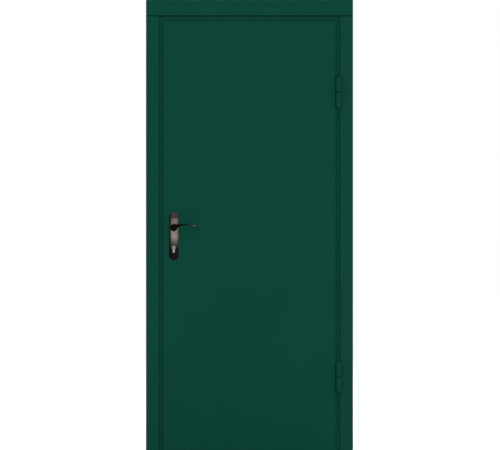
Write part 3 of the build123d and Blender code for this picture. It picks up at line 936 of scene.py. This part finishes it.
def lever_arm():
    """The arm and grip, extruded from station to station and smoothed."""
    reach, top, foot, depth = arm_stations[0]
    bpy.ops.mesh.primitive_circle_add(
        vertices=12, radius=0.5, fill_type="NGON", rotation=(math.pi / 2, 0, math.pi / 2),
        location=(axis_x + reach, lever_plane, axis_z + (top + foot) / 2),
    )
    arm = placed("lever_arm", (depth, top - foot, 1))
    bpy.ops.object.mode_set(mode="EDIT")
    bpy.ops.mesh.select_all(action="SELECT")
    for next_reach, next_top, next_foot, next_depth in arm_stations[1:]:
        middle = (next_top + next_foot) / 2
        bpy.ops.mesh.extrude_region_move(
            TRANSFORM_OT_translate={"value": (next_reach - reach, 0, middle - (top + foot) / 2)}
        )
        bpy.ops.transform.resize(
            value=(1, next_depth / depth, (next_top - next_foot) / (top - foot)),
            center_override=(axis_x + next_reach, lever_plane, axis_z + middle),
        )
        reach, top, foot, depth = next_reach, next_top, next_foot, next_depth
    bpy.ops.object.mode_set(mode="OBJECT")
    close_up(arm, arm_smooth)
    soft = arm.modifiers.new("soft", "SUBSURF")
    soft.levels = soft.render_levels = 2
    bpy.ops.object.modifier_apply(modifier=soft.name)
    return arm


def lever():
    """One lever, its turned parts and its arm made one and smoothed where they meet."""
    neck_front = hub_front - hub_thick / 2
    body = turned_disc("lever_outer_cast", neck_radius, neck_front, neck_front - collar_seat, neck_edge)
    for part in (
        turned_disc("lever_collar", collar_radius, collar_seat + collar_thick, collar_thick, collar_edge),
        turned_disc("lever_hub", hub_radius, hub_front, hub_thick, hub_edge),
        lever_arm(),
    ):
        cut(body, part, "UNION")
    return close_up(body, cast_smooth)


lever_copper = blackened_copper("blackened_copper")
outer_lever = lever()
inner_lever = mirrored(outer_lever, "lever_inner_cast")
hand_over(outer_lever, lever_copper, "handle", "lever_outer")
hand_over(inner_lever, lever_copper, "handle", "lever_inner")
coat(bare_steel, "spindle")


# Hinges: two barrel hinges that show beside the leaf
# Turned steel halves with a web welded to the leaf or the frame, a hardened pin and a ground
# washer between them. They are coated with the door, apart from the pin and the washer.
hinge_x, hinge_y, _ = joint_place("leaf_hinge")
pin_low, pin_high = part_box("hinge_top_pin")
pin_clearance = 0.00008
bore_radius = (pin_high.x - pin_low.x) / 2 + pin_clearance
bore_depth = 0.040
barrel_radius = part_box("hinge_top_frame_half")[1].x - hinge_x
dome_height = 0.014
dome_steps = 7
dome_turn = 78
split_edge = 0.0006
web_length = 0.056
leaf_web_thick = 0.0055
leaf_web_neck = 0.6
hinge_bead_radius = 0.0013
hinge_bead_inset = 0.005


def hinge_barrel(name, split, straight_end, way):
    """A turned barrel with a rounded rim at the split and a domed free end, above or below the split."""
    bpy.ops.mesh.primitive_cylinder_add(
        vertices=64, radius=barrel_radius, depth=abs(straight_end - split),
        location=(hinge_x, hinge_y, (split + straight_end) / 2),
    )
    barrel = placed(name)
    bpy.ops.object.mode_set(mode="EDIT")
    select_facing(barrel, (0, 0, -way))
    bpy.ops.mesh.bevel(offset=split_edge, segments=2)
    select_facing(barrel, (0, 0, way))
    radius, rise = barrel_radius, 0
    for step in range(1, dome_steps + 1):
        turn = math.radians(dome_turn * step / dome_steps)
        next_radius, next_rise = barrel_radius * math.cos(turn), dome_height * math.sin(turn)
        bpy.ops.mesh.inset(thickness=radius - next_radius)
        bpy.ops.transform.translate(value=(0, 0, way * (next_rise - rise)))
        radius, rise = next_radius, next_rise
    bpy.ops.object.mode_set(mode="OBJECT")
    return close_up(barrel)


def pin_bore(split):
    """A bar through the split of a hinge, as wide as the bore round its pin."""
    bpy.ops.mesh.primitive_cylinder_add(
        vertices=48, radius=bore_radius, depth=2 * bore_depth, location=(hinge_x, hinge_y, split)
    )
    return placed("pin_bore")


def leaf_web(low, high):
    """The weld-on web of a leaf half: thick at the leaf's edge and drawn in towards the barrel."""
    middle_x, middle_z = (low.x + hinge_x) / 2, (low.z + high.z) / 2
    bpy.ops.mesh.primitive_cube_add(size=1, location=(middle_x, high.y - leaf_web_thick / 2, middle_z))
    web = placed("leaf_web", (hinge_x - low.x, leaf_web_thick, high.z - low.z))
    bpy.ops.object.mode_set(mode="EDIT")
    select_facing(web, (0, -1, 0))
    neck = (hinge_x, hinge_y + barrel_radius / 2, middle_z)
    bpy.ops.mesh.extrude_region_move(
        TRANSFORM_OT_translate={"value": (hinge_x - middle_x, neck[1] - high.y + leaf_web_thick, 0)}
    )
    bpy.ops.transform.resize(value=(leaf_web_neck, 1, 1), center_override=neck)
    bpy.ops.object.mode_set(mode="OBJECT")
    return web


def frame_web(low, high):
    """The weld-on web of a frame half: a bar from the barrel's middle back to the architrave."""
    width, depth = hinge_x - low.x, high.y - hinge_y
    bpy.ops.mesh.primitive_cube_add(
        size=1, location=(hinge_x - width / 2, hinge_y + depth / 2, (low.z + high.z) / 2)
    )
    return placed("frame_web", (width, depth, high.z - low.z))


# The washers are blackened steel, made darker still as painted shade of the split between the halves
bearing_steel_and_split_shade = brushed_metal(
    "blackened_bearing_steel", (0.002, 0.004, 0.0035, 1), (0.006, 0.009, 0.008, 1), 0.5, 800, (1, 1, 1)
)
for half, body, way in (
    ("hinge_top_frame_half", "frame", -1),
    ("hinge_top_leaf_half", "leaf", 1),
    ("hinge_bottom_frame_half", "frame", 1),
    ("hinge_bottom_leaf_half", "leaf", -1),
):
    half_low, half_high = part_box(half)
    split, free_end = (half_low.z, half_high.z) if way > 0 else (half_high.z, half_low.z)
    web_end = split + way * web_length
    web_low = Vector((half_low.x, half_low.y, min(split, web_end)))
    web_high = Vector((half_high.x, half_high.y, max(split, web_end)))
    turned = hinge_barrel(f"{half}_turned", split, free_end - way * dome_height, way)
    if body == "leaf":
        cut(turned, leaf_web(web_low, web_high), "UNION")
        bead_x, bead_y = half_low.x, half_high.y - leaf_web_thick
    else:
        cut(turned, frame_web(web_low, web_high), "UNION")
        bead_x, bead_y = hinge_x, half_high.y
    cut(turned, pin_bore(split))
    hand_over(close_up(turned), door_paint, body, half)
    bead = weld_bead(
        f"{half}_weld",
        (bead_x, bead_y, web_low.z + hinge_bead_inset),
        (bead_x, bead_y, web_high.z - hinge_bead_inset),
        hinge_bead_radius,
    )
    hand_over(bead, door_paint, body)
coat(bearing_steel_and_split_shade, "hinge_top_washer", "hinge_bottom_washer")
coat(bare_steel, "hinge_top_pin", "hinge_bottom_pin")
